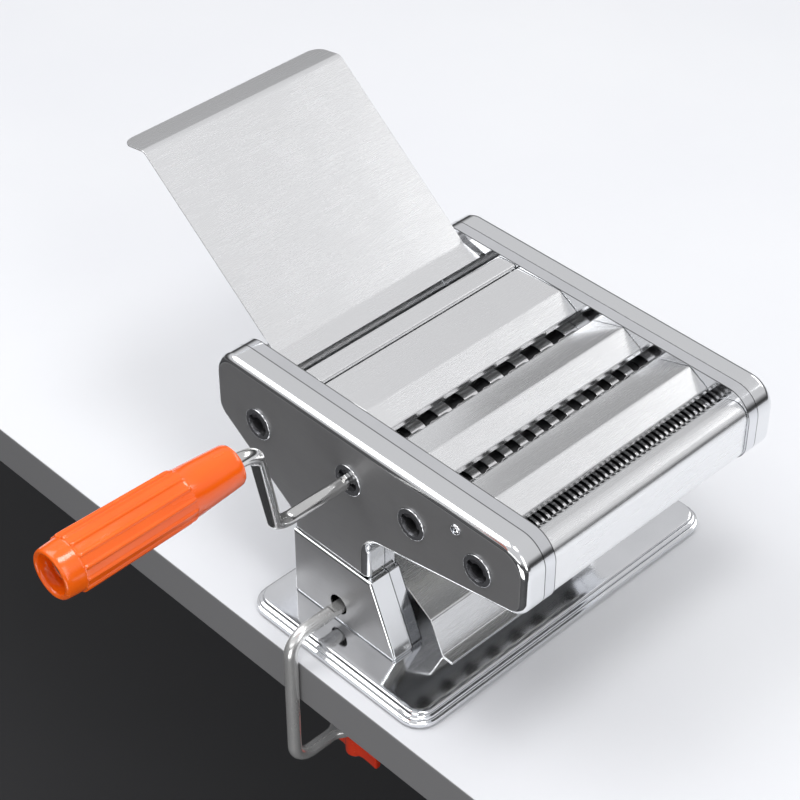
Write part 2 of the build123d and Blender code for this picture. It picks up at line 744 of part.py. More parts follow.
with BuildPart() as crank_grip:
    length = grip_inner - grip_outer
    ribbed = 0.6 * length           # ribbed stretch, from the cap inwards
    cap = 11.0
    for start, run, r_from, r_to in (
        (grip_outer, cap, 12.6, 13.6),
        (grip_outer + cap, ribbed, 14.6, 13.4),
        (grip_outer + cap + ribbed, length - cap - ribbed, 13.0, 10.8),
    ):
        with BuildSketch(Plane(origin=(grip_at[0], start, grip_at[1]), z_dir=(0, 1, 0))):
            Circle(r_from)
        with BuildSketch(Plane(origin=(grip_at[0], start + run, grip_at[1]), z_dir=(0, 1, 0))):
            Circle(r_to)
        loft()
    ends = crank_grip.faces().sort_by(Axis.Y)
    fillet(ends[0].edges() + ends[-1].edges(), radius=1.5)
    # Bore on the rod, and the recess that holds the washer and the riveted end.
    cylinder_y(grip_at, crank_rod_radius + 0.1, grip_outer, grip_inner, mode=Mode.SUBTRACT)
    cylinder_y(grip_at, 10.0, grip_outer, grip_outer + 8, mode=Mode.SUBTRACT)
save(crank_grip, "crank_grip")

with BuildPart() as grip_washer:
    cylinder_y(grip_at, 7.0, grip_outer + 6, grip_outer + 7.6)
    cylinder_y(grip_at, 5.2, grip_outer + 4.2, grip_outer + 6)
    fillet(grip_washer.faces().sort_by(Axis.Y)[0].edges(), radius=1.2)
    cylinder_y(grip_at, crank_rod_radius, grip_outer + 7, grip_outer + 7.6, mode=Mode.SUBTRACT)
save(grip_washer, "grip_washer")

# ---------------------------------------------------------------- table clamp
hook_end = -77.0
with BuildPart() as clamp_bracket:
    with BuildLine():
        FilletPolyline(
            (clamp_at[0], hook_end, clamp_arm_z),
            (clamp_at[0], clamp_back, clamp_arm_z),
            (clamp_at[0], clamp_back, clamp_low),
            (clamp_at[0], clamp_screw_y - 9, clamp_low),
            radius=[clamp_bend, clamp_bend],
        )
    with BuildSketch(Plane(origin=(clamp_at[0], hook_end, clamp_arm_z), z_dir=(0, -1, 0))):
        Circle(clamp_rod_radius)
    sweep()
    chamfer(clamp_bracket.faces().sort_by(Axis.Y)[-1].edges(), length=0.8)
    # Half-depth notch on the upper side of the hook arm, which locks over the leg's face.
    with BuildSketch(side_plane(-84)):
        with Locations((clamp_at[0], clamp_arm_z + clamp_rod_radius)):
            Rectangle(2 * clamp_rod_radius + 1, 4.4)
    extrude(amount=20, mode=Mode.SUBTRACT)
    # The lower arm is pressed flat into an eye for the screw.
    with BuildSketch(Plane.XY.offset(clamp_low - 2.6)):
        with Locations((clamp_at[0], clamp_screw_y - 1)):
            RectangleRounded(15, 21, 3)
    extrude(amount=5.2)
    with BuildSketch(Plane.XY.offset(clamp_low - 2.6)):
        with Locations((clamp_at[0], clamp_screw_y)):
            Circle(screw_radius + 0.1)
    extrude(amount=5.2, mode=Mode.SUBTRACT)
save(clamp_bracket, "clamp_bracket")

pad_top = -table_thickness - 0.2
screw_low = clamp_low - 31.0
with BuildPart() as clamp_screw:
    with BuildSketch(Plane.XY.offset(screw_low)):
        with Locations((clamp_at[0], clamp_screw_y)):
            Circle(screw_radius)
    extrude(amount=pad_top - 4.4 - screw_low)
    with BuildSketch(Plane.XY.offset(pad_top - 4.4)):
        with Locations((clamp_at[0], clamp_screw_y)):
            Circle(2.5)
    extrude(amount=4.0)
    chamfer(clamp_screw.faces().sort_by(Axis.Z)[0].edges(), length=0.8)
save(clamp_screw, "clamp_screw")

with BuildPart() as clamp_pad:
    with BuildSketch(Plane.XY.offset(pad_top - 4.2)):
        with Locations((clamp_at[0], clamp_screw_y)):
            Circle(7)
    with BuildSketch(Plane.XY.offset(pad_top - 1.6)):
        with Locations((clamp_at[0], clamp_screw_y)):
            Circle(pad_radius)
    loft()
    with BuildSketch(Plane.XY.offset(pad_top - 1.6)):
        with Locations((clamp_at[0], clamp_screw_y)):
            Circle(pad_radius)
    extrude(amount=1.6)
    with BuildSketch(Plane.XY.offset(pad_top - 4.2)):
        with Locations((clamp_at[0], clamp_screw_y)):
            Circle(2.6)
    extrude(amount=3.9, mode=Mode.SUBTRACT)
save(clamp_pad, "clamp_pad")

knob_top = clamp_low - 9.0
with BuildPart() as clamp_knob:
    with BuildSketch(Plane.XY.offset(knob_top - 20)):
        with Locations((clamp_at[0], clamp_screw_y)):
            Circle(6.3)
    extrude(amount=20)
    with BuildSketch(Plane.XY.offset(knob_top)):
        with Locations((clamp_at[0], clamp_screw_y)):
            Circle(7.6)
    extrude(amount=-3)
    with BuildSketch(Plane.XZ.offset(-clamp_screw_y)):
        with Locations((clamp_at[0], knob_top - 10.7)):
            RectangleRounded(40, 18.6, 3)
    extrude(amount=2.8, both=True)
    with BuildSketch(Plane.XY.offset(screw_low)):
        with Locations((clamp_at[0], clamp_screw_y)):
            Circle(screw_radius)
    extrude(amount=40, mode=Mode.SUBTRACT)
save(clamp_knob, "clamp_knob")
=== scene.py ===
import json
from math import atan2, copysign, cos, pi, radians, sin, tau

import bmesh
import bpy
from mathutils import Matrix, Vector


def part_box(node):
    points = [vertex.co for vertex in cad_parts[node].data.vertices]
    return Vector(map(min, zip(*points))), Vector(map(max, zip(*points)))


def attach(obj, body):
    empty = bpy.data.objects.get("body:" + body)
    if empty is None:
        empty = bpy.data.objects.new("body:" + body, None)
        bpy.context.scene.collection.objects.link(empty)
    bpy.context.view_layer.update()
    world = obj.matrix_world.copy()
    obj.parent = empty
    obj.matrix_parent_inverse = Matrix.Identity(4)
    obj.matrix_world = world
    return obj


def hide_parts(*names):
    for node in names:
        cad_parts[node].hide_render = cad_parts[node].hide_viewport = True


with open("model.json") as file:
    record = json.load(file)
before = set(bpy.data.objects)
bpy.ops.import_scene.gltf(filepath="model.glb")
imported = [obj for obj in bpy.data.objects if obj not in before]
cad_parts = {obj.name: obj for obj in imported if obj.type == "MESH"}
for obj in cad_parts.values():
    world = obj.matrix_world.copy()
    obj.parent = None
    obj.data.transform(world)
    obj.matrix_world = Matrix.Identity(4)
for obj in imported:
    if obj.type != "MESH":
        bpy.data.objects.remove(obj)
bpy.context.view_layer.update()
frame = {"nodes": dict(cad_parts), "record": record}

MM = 0.001
SHARP = 32.0                          # turn, in degrees, from which an edge counts as sharp
BODY_OF = {
    node: body for body, nodes in frame["record"]["behaviour"]["bodies"].items() for node in nodes
}


# ------------------------------------------------------------------ materials
def new_material(name, colour, roughness, metallic=0.0):
    material = bpy.data.materials.new(name)
    material.use_nodes = True
    shader = material.node_tree.nodes["Principled BSDF"]
    shader.inputs["Base Color"].default_value = (*colour, 1)
    shader.inputs["Roughness"].default_value = roughness
    shader.inputs["Metallic"].default_value = metallic
    return material, material.node_tree, shader


def noise(tree, scale, detail, stretch=(1, 1, 1)):
    """A noise texture in object space; stretch squeezes it along an axis to draw it out."""
    coordinates = tree.nodes.new("ShaderNodeTexCoord")
    mapping = tree.nodes.new("ShaderNodeMapping")
    mapping.inputs["Scale"].default_value = stretch
    texture = tree.nodes.new("ShaderNodeTexNoise")
    texture.inputs["Scale"].default_value = scale
    texture.inputs["Detail"].default_value = detail
    tree.links.new(coordinates.outputs["Object"], mapping.inputs["Vector"])
    tree.links.new(mapping.outputs["Vector"], texture.inputs["Vector"])
    return texture.outputs["Fac"]


def ranged(tree, value, low_in, high_in, low_out, high_out):
    """A value mapped from one range to another, and held at the ends of the second."""
    node = tree.nodes.new("ShaderNodeMapRange")
    limits = {"From Min": low_in, "From Max": high_in, "To Min": low_out, "To Max": high_out}
    for socket, number in limits.items():
        node.inputs[socket].default_value = number
    tree.links.new(value, node.inputs["Value"])
    return node.outputs["Result"]


def mixed(tree, factor, first, second):
    """A blend of two colours, each given as numbers or as another node's output."""
    node = tree.nodes.new("ShaderNodeMix")
    node.data_type = "RGBA"
    tree.links.new(factor, node.inputs["Factor"])
    for socket, colour in ((node.inputs[6], first), (node.inputs[7], second)):
        if isinstance(colour, tuple):
            socket.default_value = (*colour, 1)
        else:
            tree.links.new(colour, socket)
    return node.outputs[2]


def clouded(tree, value, low, high, first, second):
    """The first colour where a value is below low, turning to the second above high."""
    return mixed(tree, ranged(tree, value, low, high, 0.0, 1.0), first, second)


def math_node(tree, operation, first, second):
    node = tree.nodes.new("ShaderNodeMath")
    node.operation = operation
    for socket, value in zip(node.inputs, (first, second)):
        if isinstance(value, (int, float)):
            socket.default_value = value
        else:
            tree.links.new(value, socket)
    return node.outputs["Value"]


def bumped(tree, shader, height, distance):
    bump = tree.nodes.new("ShaderNodeBump")
    bump.inputs["Distance"].default_value = distance
    tree.links.new(height, bump.inputs["Height"])
    tree.links.new(bump.outputs["Normal"], shader.inputs["Normal"])


def facing(tree, axis, low, high):
    """1 where the surface faces along an axis of its own body, either way, and 0 elsewhere."""
    surface = tree.nodes.new("ShaderNodeTexCoord")
    split = tree.nodes.new("ShaderNodeSeparateXYZ")
    tree.links.new(surface.outputs["Normal"], split.inputs["Vector"])
    along = math_node(tree, "ABSOLUTE", split.outputs[axis], 0.0)
    return ranged(tree, along, low, high, 0.0, 1.0)


def metal(
    name, colour, dull, roughness, grain, grain_scale, grain_depth=0.000004, metallic=1.0
):
    """Plated or ground metal: drawn-out grain, faint smudges and a slight colour shift."""
    material, tree, shader = new_material(name, colour, roughness, metallic)
    smudge = noise(tree, 38.0, 5.0)
    fine = noise(tree, grain_scale, 4.0, grain)
    tree.links.new(clouded(tree, smudge, 0.35, 0.75, colour, dull), shader.inputs["Base Color"])
    spread = math_node(
        tree,
        "ADD",
        ranged(tree, smudge, 0.3, 0.75, roughness * 0.95, roughness * 1.1),
        ranged(tree, fine, 0.3, 0.7, -0.08 * roughness, 0.12 * roughness),
    )
    tree.links.new(spread, shader.inputs["Roughness"])
    bumped(tree, shader, fine, grain_depth)
    return material


def plastic(name, colour, deep, roughness, coat=0.0):
    """Moulded plastic: slight flow marks in the colour and a fine orange-peel surface."""
    material, tree, shader = new_material(name, colour, roughness)
    flow = noise(tree, 45.0, 4.0, (1, 0.35, 1))
    tree.links.new(clouded(tree, flow, 0.3, 0.7, colour, deep), shader.inputs["Base Color"])
    peel = noise(tree, 1500.0, 3.0)
    scuff = noise(tree, 210.0, 6.0, (1, 0.2, 1))
    tree.links.new(
        ranged(tree, scuff, 0.45, 0.75, roughness * 0.85, roughness * 1.6),
        shader.inputs["Roughness"],
    )
    shader.inputs["Coat Weight"].default_value = coat
    shader.inputs["Coat Roughness"].default_value = 0.08
    bumped(tree, shader, peel, 0.000012)
    return material


EVEN = (1, 1, 1)
chrome = metal("chrome_plate", (0.80, 0.81, 0.83), (0.74, 0.75, 0.77), 0.09, EVEN, 500.0, 0.000002)
sheet = metal(
    "bright_sheet", (0.90, 0.905, 0.91), (0.88, 0.885, 0.89), 0.25, (1, 0.02, 1), 2600.0, 0.000001
)
steel = metal("zinc_steel", (0.60, 0.61, 0.62), (0.50, 0.51, 0.52), 0.34, EVEN, 800.0)
ground = metal("ground_steel", (0.93, 0.935, 0.94), (0.86, 0.865, 0.87), 0.3, (1, 0.03, 1), 1200.0)
gear_steel = metal("gear_steel", (0.52, 0.52, 0.53), (0.42, 0.42, 0.43), 0.38, EVEN, 1000.0, 0.00001)
dark_steel = metal("dark_steel", (0.20, 0.20, 0.21), (0.12, 0.12, 0.13), 0.42, EVEN, 900.0, 0.00001)
nickel = metal(
    "nickel_rod", (0.78, 0.78, 0.77), (0.66, 0.66, 0.65), 0.13, (1, 1, 0.15), 500.0, 0.000003
)
satin_rod = metal(
    "satin_rod", (0.84, 0.84, 0.83), (0.74, 0.74, 0.73), 0.24, (1, 1, 0.2), 900.0, 0.0000015, 0.75
)
brass = metal("turned_brass", (0.72, 0.53, 0.24), (0.58, 0.41, 0.17), 0.27, (1, 0.05, 1), 1300.0)
orange = plastic("orange_plastic", (0.96, 0.145, 0.003), (0.88, 0.105, 0.002), 0.2, coat=0.35)
red = plastic("red_plastic", (0.80, 0.052, 0.012), (0.68, 0.034, 0.008), 0.22, coat=0.4)
black = plastic("black_plastic", (0.022, 0.022, 0.024), (0.012, 0.012, 0.013), 0.33)
white = plastic("comb_plastic", (0.80, 0.79, 0.75), (0.72, 0.71, 0.66), 0.42)
for translucent in (orange, red):
    sockets = translucent.node_tree.nodes["Principled BSDF"].inputs
    sockets["Subsurface Weight"].default_value = 0.05
    sockets["Subsurface Scale"].default_value = 0.004


def rubber_material():
    """Black rubber, matt and gritty, greyed where it is worn."""
    material, tree, shader = new_material("foot_rubber", (0.03, 0.03, 0.032), 0.75)
    grit = noise(tree, 1800.0, 4.0)
    worn = noise(tree, 120.0, 4.0)
    colour = clouded(tree, worn, 0.4, 0.8, (0.022, 0.022, 0.024), (0.07, 0.07, 0.068))
    tree.links.new(colour, shader.inputs["Base Color"])
    tree.links.new(ranged(tree, grit, 0.3, 0.7, 0.62, 0.86), shader.inputs["Roughness"])
    bumped(tree, shader, grit, 0.00004)
    return material


def cheek_material():
    """Satin plate on the flat faces of the cheeks, polished where the rim rolls over."""
    material, tree, shader = new_material("cheek_plate", (0.42, 0.42, 0.43), 0.4, 1.0)
    face = facing(tree, "Y", 0.955, 0.985)
    tree.links.new(ranged(tree, face, 0.0, 1.0, 1.0, 0.55), shader.inputs["Metallic"])
    smudge = noise(tree, 30.0, 5.0)
    fine = noise(tree, 1500.0, 4.0, (0.03, 1, 1))
    satin = clouded(tree, smudge, 0.3, 0.75, (0.30, 0.30, 0.305), (0.265, 0.265, 0.27))
    tree.links.new(mixed(tree, face, (0.82, 0.83, 0.84), satin), shader.inputs["Base Color"])
    rough_face = math_node(
        tree,
        "ADD",
        ranged(tree, fine, 0.3, 0.7, 0.36, 0.46),
        ranged(tree, smudge, 0.3, 0.7, -0.03, 0.05),
    )
    blend = tree.nodes.new("ShaderNodeMix")
    tree.links.new(face, blend.inputs["Factor"])
    blend.inputs[2].default_value = 0.11
    tree.links.new(rough_face, blend.inputs[3])
    tree.links.new(blend.outputs[0], shader.inputs["Roughness"])
    bumped(tree, shader, math_node(tree, "MULTIPLY", fine, face), 0.000006)
    return material


def gap_shaded_material(node):
    """Bright plate with a thin dark line of painted shade along each edge of its rim, where it meets
    others.
    """
    material, tree, shader = new_material(f"{node}_plate", (0.8, 0.81, 0.83), 0.12, 1.0)
    low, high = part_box(node)
    middle, half = (low[1] + high[1]) / 2, (high[1] - low[1]) / 2
    coordinates = tree.nodes.new("ShaderNodeTexCoord")
    split = tree.nodes.new("ShaderNodeSeparateXYZ")
    tree.links.new(coordinates.outputs["Object"], split.inputs["Vector"])
    offset = math_node(tree, "SUBTRACT", split.outputs["Y"], middle)
    from_middle = math_node(tree, "ABSOLUTE", offset, 0.0)
    edge = ranged(tree, from_middle, half - 0.0007, half - 0.0003, 0.0, 1.0)
    rim = ranged(tree, facing(tree, "Y", 0.8, 0.97), 0.0, 1.0, 1.0, 0.0)
    smudge = noise(tree, 38.0, 5.0)
    plate = clouded(tree, smudge, 0.35, 0.75, (0.80, 0.81, 0.83), (0.74, 0.75, 0.77))
    # Painted shade: a thin near-black line on the rim where this plate meets the next piece, standing
    # in for the shadow in the gap.
    painted_gap_shade = math_node(tree, "MULTIPLY", edge, rim)
    tree.links.new(mixed(tree, painted_gap_shade, plate, (0.04, 0.04, 0.042)), shader.inputs["Base Color"])
    tree.links.new(ranged(tree, smudge, 0.3, 0.75, 0.09, 0.14), shader.inputs["Roughness"])
    return material


def cutter_material(node):
    """Cutter rings of bright steel on their rims, with painted shade darkening the grooves between
    them, which are also rougher.
    """
    material, tree, shader = new_material(f"{node}_steel", (0.9, 0.9, 0.9), 0.2, 0.92)
    low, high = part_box(node)
    axis = (Vector(low) + Vector(high)) / 2
    rim = (high[2] - low[2]) / 2
    coordinates = tree.nodes.new("ShaderNodeTexCoord")
    level = tree.nodes.new("ShaderNodeVectorMath")
    level.operation = "MULTIPLY"
    level.inputs[1].default_value = (1, 0, 1)
    tree.links.new(coordinates.outputs["Object"], level.inputs[0])
    radius = tree.nodes.new("ShaderNodeVectorMath")
    radius.operation = "DISTANCE"
    radius.inputs[1].default_value = (axis.x, 0, axis.z)
    tree.links.new(level.outputs["Vector"], radius.inputs[0])
    rim_clear_of_shade = ranged(tree, radius.outputs["Value"], rim - 0.0007, rim - 0.0002, 0.0, 1.0)
    smudge = noise(tree, 38.0, 5.0)
    bright = clouded(tree, smudge, 0.35, 0.75, (0.97, 0.97, 0.975), (0.92, 0.92, 0.925))
    # Painted shade: everything below the rims is coloured near black, for the shade deep in the cutter
    # slots.
    tree.links.new(mixed(tree, rim_clear_of_shade, (0.05, 0.05, 0.052), bright), shader.inputs["Base Color"])
    tree.links.new(ranged(tree, rim_clear_of_shade, 0.0, 1.0, 0.45, 0.2), shader.inputs["Roughness"])
    bumped(tree, shader, noise(tree, 1200.0, 4.0, (1, 0.03, 1)), 0.000002)
    return material


rubber = rubber_material()
cheek = cheek_material()


# ------------------------------------------------------------------ mesh helpers
def place(name, bm, material, node, sharp=SHARP, hides=True):
    """Turn a mesh drawn in millimetres into a piece that stands for a CAD node."""
    bmesh.ops.scale(bm, vec=(MM, MM, MM), verts=bm.verts)
    return place_metres(name, bm, material, node, sharp, hides)


def place_metres(name, bm, material, node, sharp=SHARP, hides=True):
    """A piece that rides with a CAD node's body, and hides that node unless it only adds to it."""
    bmesh.ops.recalc_face_normals(bm, faces=bm.faces)
    shade(bm, sharp)
    mesh = bpy.data.meshes.new(name)
    bm.to_mesh(mesh)
    bm.free()
    mesh.materials.append(material)
    piece = bpy.data.objects.new(name, mesh)
    bpy.context.collection.objects.link(piece)
    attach(piece, BODY_OF[node])
    if hides:
        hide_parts(node)
    return piece


def shade(bm, sharp):
    """Smooth faces, with an edge sharp where its faces turn by more than sharp degrees."""
    for face in bm.faces:
        face.smooth = True
    for edge in bm.edges:
        edge.smooth = not (edge.is_manifold and edge.calc_face_angle(0.0) > radians(sharp))


def break_edges(piece, width, sharp):
    """Round the sharp edges of a piece by a width in millimetres."""
    rounding = piece.modifiers.new("edges", "BEVEL")
    rounding.width = width * MM
    rounding.segments = 2
    rounding.limit_method = "ANGLE"
    rounding.angle_limit = radians(sharp)


def flatten_shading(piece):
    """Let large flat faces set the shading at their borders."""
    flat = piece.modifiers.new("flat", "WEIGHTED_NORMAL")
    flat.keep_sharp = True


def carried(node, material, bevel):
    """A CAD piece with its mesh cleaned, its curved faces smooth and its edges broken."""
    bm = bmesh.new()
    bm.from_mesh(frame["nodes"][node].data)
    bmesh.ops.remove_doubles(bm, verts=bm.verts, dist=1e-6)
    bmesh.ops.dissolve_limit(bm, angle_limit=radians(0.4), verts=bm.verts, edges=bm.edges)
    piece = place_metres(f"{node}_look", bm, material, node)
    break_edges(piece, bevel, SHARP)
    flatten_shading(piece)


def skin(bm, rings, wrap=False):
    """Faces between successive rings of equal length, with the ends capped or joined up."""
    made = [[bm.verts.new(point) for point in ring] for ring in rings]
    pairs = list(zip(made, made[1:]))
    if wrap:
        pairs.append((made[-1], made[0]))
    for first, second in pairs:
        for a in range(len(first)):
            b = (a + 1) % len(first)
            bm.faces.new((first[a], first[b], second[b], second[a]))
    if not wrap:
        bm.faces.new(made[0])
        bm.faces.new(made[-1])
    return made


def turned(bm, profile, origin, along, steps, wrap=False):
    """Revolve (radius, distance) points about a line through origin, square to X."""
    axis = Vector(along).normalized()
    side = Vector((1, 0, 0))
    other = axis.cross(side)
    origin = Vector(origin)
    angles = [tau * k / steps for k in range(steps)]
    rings = [
        [
            origin + axis * distance + (side * cos(angle) + other * sin(angle)) * radius
            for angle in angles
        ]
        for radius, distance in profile
    ]
    skin(bm, rings, wrap)


def rounded_path(points, radii, spacing):
    """Points along a line of straight runs whose corners are arcs of the given radii."""
    corners = [Vector(point) for point in points]
    path = [corners[0]]
    for before, corner, after, radius in zip(corners, corners[1:], corners[2:], radii):
        into = (corner - before).normalized()
        out = (after - corner).normalized()
        turn = into.angle(out)
        reach = radius * sin(turn / 2) / cos(turn / 2)
        inward = (out - into).normalized()
        centre = corner + inward * (radius / cos(turn / 2))
        start = corner - into * reach
        first = (start - centre) / radius
        steps = max(6, int(radius * turn / spacing))
        for step in range(steps + 1):
            angle = turn * step / steps
            path.append(centre + (first * cos(angle) + into * sin(angle)) * radius)
    path.append(corners[-1])
    return divided(path, 4 * spacing)


def divided(path, longest):
    """The same line with its longer runs divided."""
    points = [path[0]]
    for first, second in zip(path, path[1:]):
        pieces = max(1, int((second - first).length / longest))
        points += [first.lerp(second, k / pieces) for k in range(1, pieces + 1)]
    return points


def path_length(path):
    return sum((b - a).length for a, b in zip(path, path[1:]))


def swept(path, section, side):
    """Rings along a path; section(travelled) gives their points as (across, up) offsets."""
    rings = []
    travelled = 0.0
    across = Vector(side)
    for index, point in enumerate(path):
        if index:
            travelled += (point - path[index - 1]).length
        ahead = path[min(index + 1, len(path) - 1)] - path[max(index - 1, 0)]
        ahead.normalize()
        across = (across - ahead * across.dot(ahead)).normalized()
        up = ahead.cross(across)
        rings.append([point + across * a + up * b for a, b in section(travelled)])
    return rings


def circle_section(radius, steps):
    return [(radius * cos(tau * k / steps), radius * sin(tau * k / steps)) for k in range(steps)]


def squared_section(half_width, half_height, power, steps):
    """A closed section: an ellipse at power 1, nearer to a rectangle as power falls to 0."""
    section = []
    for k in range(steps):
        c, s = cos(tau * k / steps), sin(tau * k / steps)
        section.append((
            half_width * copysign(abs(c) ** power, c),
            half_height * copysign(abs(s) ** power, s),
        ))
    return section


def ring_about_y(axis, y, steps, radius_at):
    """Points round an axis along Y; radius_at(angle) gives each one's radius."""
    angles = [tau * k / steps for k in range(steps)]
    return [
        (axis.x + radius_at(angle) * cos(angle), y, axis.z + radius_at(angle) * sin(angle))
        for angle in angles
    ]


def eased(value):
    """0 below 0, 1 above 1 and a smooth step between."""
    value = max(0.0, min(1.0, value))
    return value * value * (3 - 2 * value)


def cut(piece, tool_bm, name, operation="DIFFERENCE"):
    """Apply a boolean with a mesh drawn in millimetres, and drop the tool."""
    bmesh.ops.scale(tool_bm, vec=(MM, MM, MM), verts=tool_bm.verts)
    bmesh.ops.recalc_face_normals(tool_bm, faces=tool_bm.faces)
    mesh = bpy.data.meshes.new(name)
    tool_bm.to_mesh(mesh)
    tool_bm.free()
    tool = bpy.data.objects.new(name, mesh)
    bpy.context.collection.objects.link(tool)
    change = piece.modifiers.new(name, "BOOLEAN")
    change.operation = operation
    change.solver = "EXACT"
    change.object = tool
    apply_modifiers(piece)
    bpy.data.objects.remove(tool)


def apply_modifiers(piece):
    graph = bpy.context.evaluated_depsgraph_get()
    graph.update()
    mesh = bpy.data.meshes.new_from_object(piece.evaluated_get(graph))
    piece.modifiers.clear()
    piece.data = mesh


def resharpen(piece, sharp=SHARP):
    """Mark a piece's sharp edges again after its mesh has changed."""
    bm = bmesh.new()
    bm.from_mesh(piece.data)
    shade(bm, sharp)
    bm.to_mesh(piece.data)
    bm.free()


def weld(piece, gap):
    """Merge points closer than gap, in millimetres, and drop the faces that vanish."""
    bm = bmesh.new()
    bm.from_mesh(piece.data)
    bmesh.ops.remove_doubles(bm, verts=bm.verts, dist=gap * MM)
    bmesh.ops.dissolve_degenerate(bm, dist=gap * MM, edges=bm.edges)
    bm.to_mesh(piece.data)
    bm.free()


def block(bm, low, high):
    """A box between two corners, as a cutting tool or a slab."""
    low, high = Vector(low), Vector(high)
    matrix = Matrix.LocRotScale((low + high) / 2, None, high - low)
    bmesh.ops.create_cube(bm, size=1.0, matrix=matrix)


# ------------------------------------------------------------------ positions, from the frame
def centre_mm(node):
    low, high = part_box(node)
    return (Vector(low) + Vector(high)) / 2 / MM


def corners_mm(node):
    return [Vector(corner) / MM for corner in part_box(node)]


crank_axis = centre_mm("wide_socket")
grip_axis = centre_mm("grip_washer")
grip_low, grip_high = corners_mm("crank_grip")
clamp_axis = centre_mm("clamp_pad")
screw_low, screw_high = corners_mm("clamp_screw")
pad_low, pad_high = corners_mm("clamp_pad")
rod_low, rod_high = corners_mm("crank_rod")
rod_radius = 4.0
bracket_low, bracket_high = corners_mm("clamp_bracket")
regulator_axis = centre_mm("regulator_shaft")
knob_face = corners_mm("regulator_knob")[1].y


# ------------------------------------------------------------------ sheet metal and inner pieces
def carry_all(nodes, material, bevel):
    for node in nodes:
        carried(node, material, bevel)


carry_all(("feed_tray", "rear_hopper_cover", "middle_hopper_cover", "front_hopper_cover"), sheet, 0.22)
carry_all(("rear_cover", "guide_plate", "roller_cover", "nose_cover"), sheet, 0.2)
carry_all(("near_cheek_cover", "far_cheek_cover", "near_leg", "far_leg"), cheek, 0.25)
# The side frames carry a line of painted shade where their rims meet the covers.
for node in ("near_side_frame", "far_side_frame"):
    carried(node, gap_shaded_material(node), 0.3)
carried("roller_plates", steel, 0.3)
carried("base_screws", steel, 0.25)
carry_all(("cross_rods", "rod_nuts"), steel, 0.3)
carried("shaft_bushes", brass, 0.3)
carried("socket_rings", chrome, 0.2)
for name in ("wide", "medium", "narrow"):
    for cutter in (f"{name}_drive_cutter", f"{name}_partner_cutter"):
        carried(cutter, cutter_material(cutter), 0.15)
    carry_all((f"{name}_drive_gear", f"{name}_partner_gear"), gear_steel, 0.2)
    carried(f"{name}_socket", dark_steel, 0.2)
    carried(f"{name}_combs", white, 0.15)
carry_all(("drive_roller", "adjust_roller"), ground, 0.3)
carry_all(("drive_roller_gear", "adjust_roller_gear"), gear_steel, 0.3)
carried("roller_socket", dark_steel, 0.2)
carried("roller_scrapers", white, 0.15)
carry_all(("regulator_shaft", "regulator_cams"), steel, 0.3)


# ------------------------------------------------------------------ base
def rounded_loop(length, width, corner, z):
    """A rounded rectangle of points about the origin at height z."""
    steps = 12
    loop = []
    for quarter, (x, y) in enumerate(((1, 1), (-1, 1), (-1, -1), (1, -1))):
        for step in range(steps + 1):
            angle = pi / 2 * (quarter + step / steps)
            loop.append((
                x * (length / 2 - corner) + corner * cos(angle),
                y * (width / 2 - corner) + corner * sin(angle),
                z,
            ))
    return loop


base_low, base_high = corners_mm("base_plate")
base_size = base_high - base_low
corner_radius = 14.0
# The skirt as (inset, height) pairs: up its two steps to the deck, then back down inside.
lower_step = [
    (0.0, 1.7), (0.0, 3.4), (0.22, 3.95), (0.75, 4.2), (1.3, 4.28), (1.75, 4.6), (1.8, 5.1),
]
upper_step = [(1.8, 6.0), (2.0, 6.55), (2.6, 6.8), (3.1, 6.88), (3.55, 7.2), (3.6, 7.7)]
deck_edge = [(3.7, 8.5), (4.1, 8.98), (4.75, 9.2), (7.2, 9.2)]
skirt = lower_step + upper_step + deck_edge
underside = [
    (7.2, 8.0), (4.9, 8.0), (4.8, 5.8), (3.1, 5.6), (3.0, 3.2), (1.3, 3.0),
    (1.2, 1.7), (0.7, 1.6), (0.2, 1.6),
]
bm = bmesh.new()
rings = [
    rounded_loop(base_size.x - 2 * inset, base_size.y - 2 * inset, corner_radius - inset, z)
    for inset, z in skirt + underside
]
shell = skin(bm, rings, wrap=True)
deck_top = shell[len(skirt) - 1]
deck_bottom = shell[len(skirt)]
# The deck is whole, so the faces that would join its top and bottom are taken out.
following = zip(deck_top[1:] + deck_top[:1], deck_bottom[1:] + deck_bottom[:1])
for first, last, (second, third) in zip(deck_top, deck_bottom, following):
    joining_face = bm.faces.get((first, second, third, last))
    if joining_face:
        bm.faces.remove(joining_face)
bm.faces.new(deck_top)
bm.faces.new(deck_bottom)
place("base_shell", bm, chrome, "base_plate", 40)

bm = bmesh.new()
foot_x, foot_y = 50.5, 100.5
foot_profile = [
    (0.5, 0.0), (5.0, 0.0), (5.7, 0.25), (6.1, 0.9), (6.3, 2.0), (6.9, 7.0),
    (6.9, 7.6), (6.4, 7.95), (0.5, 7.95),
]
for x in (-foot_x, foot_x):
    for y in (-foot_y, foot_y):
        turned(bm, foot_profile, (x, y, 0), (0, 0, 1), 40)
place("feet", bm, rubber, "base_feet", 40)

# ------------------------------------------------------------------ cover screws
screw_at = centre_mm("cover_screws")
rod_end = 97.0
screw_profile = [
    (0.4, 1.68), (1.4, 1.62), (2.4, 1.3), (3.0, 0.8), (3.28, 0.2), (3.28, 0.0),
    (2.0, 0.0), (2.0, -17.0), (0.4, -17.0),
]
bm = bmesh.new()
for side in (-1, 1):
    turned(bm, screw_profile, (screw_at.x, side * rod_end, screw_at.z), (0, side, 0), 40)
screws = place("cover_screw_heads", bm, chrome, "cover_screws")
slot_half_width, slot_half_length = 0.45, 1.9
crossed_slots = ((slot_half_width, slot_half_length), (slot_half_length, slot_half_width))
for side in (-1, 1):
    for half_x, half_z in crossed_slots:
        ends = sorted((side * (rod_end + 0.6), side * (rod_end + 3)))
        tool = bmesh.new()
        block(
            tool,
            (screw_at.x - half_x, ends[0], screw_at.z - half_z),
            (screw_at.x + half_x, ends[1], screw_at.z + half_z),
        )
        cut(screws, tool, "recess")
resharpen(screws)


